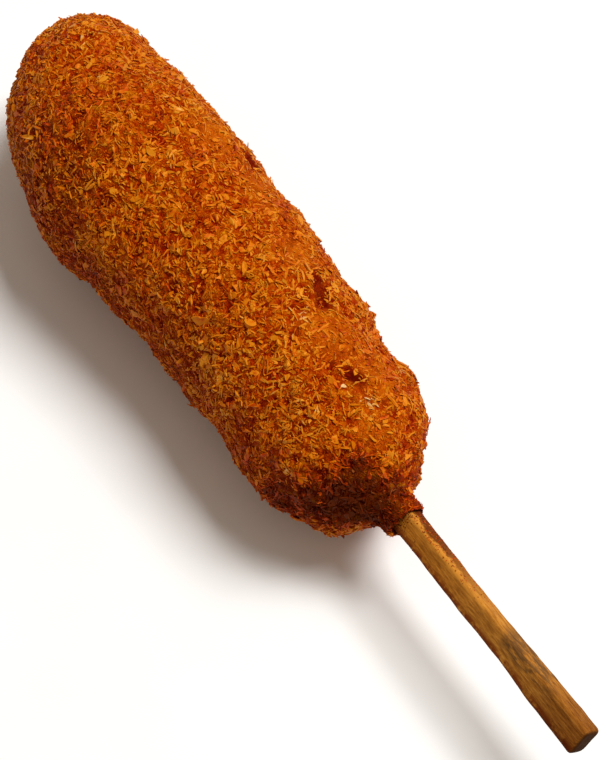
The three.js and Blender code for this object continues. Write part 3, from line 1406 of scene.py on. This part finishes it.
            # The upper side of each crumb gets more painted light than its lower side.
            lit = light[mine][:, None] + self.upper_side_light * shape[None, :, 2]
            lit += self.dapple * draw.normal(size=lit.shape)
            browned = tone[mine][:, None] + self.mottle * draw.normal(size=lit.shape)
            points.append(body.reshape(-1, 3))
            charts.append(np.stack([browned.ravel(), lit.ravel()], axis=1))
            steps = base + np.arange(len(body))[:, None, None] * len(shape)
            triangles.append((corners[None] + steps).reshape(-1, 3))
            base += len(body) * len(shape)
        made = (np.concatenate(rows) for rows in (points, triangles, charts))
        return self.join(kind.name, *made)

    @staticmethod
    def stand(ways: np.ndarray, lean: float, draw: np.random.Generator) -> np.ndarray:
        """Give each crumb its own axes: any way round, and leaning a little.

        Args:
            ways: The outward direction at each crumb.
            lean: How far crumbs lean, in degrees.
            draw: The random numbers.

        Returns:
            Length, width and thickness directions for each crumb.
        """
        slack = np.tan(np.radians(lean)) * draw.normal(size=ways.shape)
        up = unit(ways + slack)
        length = unit(np.cross(up, draw.normal(size=ways.shape)))
        return np.stack([length, np.cross(up, length), up], axis=1)

    @staticmethod
    def join(
        name: str, points: np.ndarray, triangles: np.ndarray, charts: np.ndarray
    ) -> bpy.types.Object:
        """Make one object of many crumbs.

        Args:
            name: Its name.
            points: All vertices.
            triangles: All triangles.
            charts: U and V for each vertex.

        Returns:
            The object.
        """
        mesh = bpy.data.meshes.new(name)
        mesh.vertices.add(len(points))
        mesh.vertices.foreach_set("co", points.astype(np.float32).ravel())
        mesh.loops.add(triangles.size)
        mesh.loops.foreach_set("vertex_index", triangles.astype(np.int32).ravel())
        mesh.polygons.add(len(triangles))
        mesh.polygons.foreach_set("loop_start", np.arange(0, triangles.size, 3, dtype=np.int32))
        mesh.update(calc_edges=True)
        mesh.shade_flat()
        write_uv(mesh, np.clip(charts, UV_MARGIN, 1 - UV_MARGIN)[triangles.ravel()])
        piece = bpy.data.objects.new(name, mesh)
        bpy.context.scene.collection.objects.link(piece)
        return piece


# ---- The stick ----


@dataclass
class Stick:
    """The four-sided wooden stick.

    Attributes:
        node: The CAD node that it replaces.
        slot: The record's material slot. Not used.
        width: Its width.
        thickness: Its thickness.
        hand_width: Its width at the hand end.
        hand_thickness: Its thickness at the hand end.
        turn: Its turn about its length.
        edge: The radius of its edges.
        widens: Where it starts to widen and where it is as wide as it gets.
        shown_from: Where its finer mesh begins, inside the loaf.
        step: The length of that mesh's cells.
        cell: Their width.
        waves: The sizes and the heights of its unevenness.
        smooth_below: The sharpest edge that is shaded as smooth.
        end_charts: U of the middles of the end at the hand and the end in the loaf, and their V.
        end_scale: The length that goes once across the map there.
        end_facing: How squarely a face has to face along the stick to be part of an end.
        side_chart: Where the sides begin across and up the map, and how wide and high they are.
        mouth: Where the loaf ends.
        thick_reach: How far the thick batter at the loaf reaches.
        below_longer: How many times further than that it reaches on the lower sides.
        run_reach: How far the batter has run.
        facing: How squarely a side has to face up for batter to run along it.
        weights: How thickly it lies at the loaf, along the upper sides and on the lower sides.
        piece: The stick, once it is built.
    """

    node: str = "stick"
    slot: str = "stick_wood"
    width: float = 5.4 * MM
    thickness: float = 4.1 * MM
    hand_width: float = 6.3 * MM
    hand_thickness: float = 5.0 * MM
    turn: float = math.radians(50)
    edge: float = 0.8 * MM
    widens: Span = (75 * MM, 92 * MM)
    shown_from: float = 30 * MM
    step: float = 1.0 * MM
    cell: float = 0.7 * MM
    waves: tuple[Span, ...] = ((8 * MM, 0.55 * MM), (1.6 * MM, 0.14 * MM))
    smooth_below: float = math.radians(40)
    end_charts: tuple[float, float, float] = (0.86, 0.95, 0.93)
    end_scale: float = 0.1
    end_facing: float = 0.7
    side_chart: tuple[float, float, float, float] = (0.02, 0.01, 0.76, 0.98)
    mouth: float = 43.8 * MM
    thick_reach: float = 0.8 * MM
    below_longer: float = 3
    run_reach: float = 28 * MM
    facing: float = 0.35
    weights: tuple[float, float, float] = (4.0, 1.0, 0.7)
    piece: bpy.types.Object | None = None

    def build(self) -> None:
        """Make the stick and dress it."""
        low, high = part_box(self.node)
        length, middle = high.x - low.x, (low + high) / 2
        bpy.ops.object.select_all(action="DESELECT")
        bpy.ops.mesh.primitive_cube_add(size=1, location=(middle.x, 0, 0))
        self.piece = bpy.context.object
        self.piece.name = "wooden_stick"
        self.piece.scale = (length, self.width, self.thickness)
        bpy.ops.object.transform_apply(location=True, scale=True)
        bpy.ops.object.mode_set(mode="EDIT")
        bpy.ops.mesh.select_all(action="SELECT")
        bpy.ops.mesh.bevel(offset=self.edge, segments=3, affect="EDGES")
        for x in np.arange(self.shown_from, high.x - self.edge, self.step):
            cut((x, 0, 0), (1, 0, 0))
        for way, size in (((0, 1, 0), self.width), ((0, 0, 1), self.thickness)):
            for out in np.arange(self.cell / 2, size / 2 - self.edge, self.cell):
                cut(Vector(way) * out, way)
                cut(Vector(way) * -out, way)
        bpy.ops.object.mode_set(mode="OBJECT")
        self.widen()
        for grain, height in self.waves:
            roughen(self.piece, grain, height)
        self.piece.rotation_euler = (self.turn, 0, 0)
        self.piece.location = (0, middle.y, middle.z)
        pick(self.piece)
        bpy.ops.object.transform_apply(location=True, rotation=True)
        bpy.ops.object.shade_smooth_by_angle(angle=self.smooth_below)
        self.unwrap(middle)
        hand_over(self.piece, WoodFinish(middle, self.turn).material(), self.node)

    def residue(self) -> Surface:
        """Give the places where batter has run out: thick at the loaf, then thinning out."""
        mesh = self.piece.data
        places, normals = read_vertices(mesh), read_vertices(mesh, "normal")
        corners = read_triangles(mesh)
        centres, ways = places[corners].mean(1), unit(normals[corners].mean(1))
        out = centres[:, 0] - self.mouth
        facing = ways @ np.array((0, math.cos(self.turn), math.sin(self.turn)))
        at_loaf, on_top, below = self.weights
        thick = at_loaf * np.exp(-out / self.thick_reach)
        thick += on_top * np.clip(1 - out / self.run_reach, 0, 1) * (facing > self.facing)
        below_reach = self.below_longer * self.thick_reach
        thick += below * np.exp(-out / below_reach) * (facing < -self.facing)
        weight = triangle_areas(places[corners]) * thick * (out > 0)
        return Surface(places[corners], normals[corners], np.full(corners.shape, 0.5), weight)

    def widen(self) -> None:
        """Make the hand end wider and thicker."""
        mesh = self.piece.data
        places = read_vertices(mesh)
        start, end = self.widens
        share = np.clip((places[:, 0] - start) / (end - start), 0, 1)
        share = share**2 * (3 - 2 * share)
        places[:, 1] *= 1 + share * (self.hand_width / self.width - 1)
        places[:, 2] *= 1 + share * (self.hand_thickness / self.thickness - 1)
        write_vertices(mesh, places)

    def unwrap(self, middle: Vector) -> None:
        """Unroll the stick round its long axis, with its two ends on squares of their own.

        Args:
            middle: The middle of the stick.
        """
        mesh = self.piece.data
        low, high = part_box(self.node)
        left, bottom, width, height = self.side_chart
        corners = np.zeros((len(mesh.loops), 2))
        for face in mesh.polygons:
            at = math.atan2(face.center.z - middle.z, face.center.y - middle.y)
            end = abs(face.normal.x) > self.end_facing
            for loop in face.loop_indices:
                place = mesh.vertices[mesh.loops[loop].vertex_index].co
                y, z = place.y - middle.y, place.z - middle.z
                if end:
                    side = self.end_charts[0 if face.normal.x > 0 else 1]
                    corners[loop] = (side + y / self.end_scale, self.end_charts[2] + z / self.end_scale)
                    continue
                across = left + width * part_of_turn(math.atan2(z, y), at)
                corners[loop] = (across, bottom + height * (place.x - low.x) / (high.x - low.x))
        write_uv(mesh, corners)


# ---- The studio ----


@dataclass
class Studio:
    """Floor, lights and camera.

    Attributes:
        aim: Where the camera and the key light point.
        azimuth: How far round the camera stands.
        elevation: How far up it stands.
        distance: How far from its aim it stands.
        lens: Its focal length, in millimetres.
        clip: The nearest and the furthest that it sees.
        floor_size: How wide the floor is.
        key_place: Where the key light is.
        key_size: How large it is.
        key_power: How strong it is, in watts.
        fill: How strong the light from all round is.
        warmth: Its colour.
        backdrop: How bright the surround looks to the camera.
    """

    aim: Point = (5.8 * MM, 1.7 * MM, 22 * MM)
    azimuth: float = math.radians(56.2)
    elevation: float = math.radians(56.9)
    distance: float = 0.52
    lens: float = 119.2
    clip: Span = (0.01, 20)
    floor_size: float = 6.0
    key_place: Point = (0.23, 1.08, 2.09)
    key_size: float = 1.08
    key_power: float = 67.0
    fill: float = 0.36
    warmth: Colour = (1.00, 0.87, 0.72, 1)
    backdrop: float = 0.85

    def build(self) -> None:
        """Set up everything that isn't the corn dog."""
        self.make_floor()
        self.make_key()
        self.make_surround()
        self.make_camera()
        bpy.context.scene.view_settings.view_transform = "Standard"

    def make_floor(self) -> None:
        """Make the plain pale floor."""
        bpy.ops.object.select_all(action="DESELECT")
        bpy.ops.mesh.primitive_plane_add(size=self.floor_size)
        floor = bpy.context.object
        floor.name = "floor"
        floor.data.materials.append(FloorFinish().material())

    def make_key(self) -> None:
        """Make one soft light that points at the corn dog."""
        data = bpy.data.lights.new("key", "AREA")
        data.energy, data.size = self.key_power, self.key_size
        lamp = bpy.data.objects.new("key", data)
        bpy.context.scene.collection.objects.link(lamp)
        lamp.location = self.key_place
        way = Vector(self.aim) - Vector(self.key_place)
        lamp.rotation_euler = way.to_track_quat("-Z", "Y").to_euler()

    def make_surround(self) -> None:
        """Make an even pale surround that looks brighter than the warm light it gives."""
        world = bpy.data.worlds.new("surround")
        world.use_nodes = True
        nodes, links = world.node_tree.nodes, world.node_tree.links
        seen = nodes.new("ShaderNodeLightPath").outputs["Is Camera Ray"]
        light = nodes.new("ShaderNodeMix")
        light.data_type = "RGBA"
        links.new(seen, light.inputs["Factor"])
        light.inputs["A"].default_value = [channel * self.fill for channel in self.warmth]
        light.inputs["B"].default_value = (self.backdrop, self.backdrop, self.backdrop, 1)
        links.new(light.outputs["Result"], nodes["Background"].inputs["Color"])
        bpy.context.scene.world = world

    def make_camera(self) -> None:
        """Make the camera."""
        a, e = self.azimuth, self.elevation
        back = Vector((math.sin(a) * math.cos(e), -math.cos(a) * math.cos(e), math.sin(e)))
        data = bpy.data.cameras.new("camera")
        data.lens = self.lens
        data.clip_start, data.clip_end = self.clip
        camera = bpy.data.objects.new("camera", data)
        bpy.context.scene.collection.objects.link(camera)
        camera.location = Vector(self.aim) + back * self.distance
        camera.rotation_euler = (-back).to_track_quat("-Z", "Y").to_euler()
        bpy.context.scene.camera = camera


def main() -> None:
    """Build the corn dog and its studio."""
    logging.basicConfig(level=logging.INFO, format="%(name)s: %(message)s")
    loaf = Loaf()
    loaf.build()
    hand_over(loaf.piece, loaf.finish.material(), loaf.node)
    Breading(loaf.surface()).build()
    stick = Stick()
    stick.build()
    Breading(stick.residue(), RESIDUE).build()
    Studio().build()


if __name__ == "__main__":
    main()
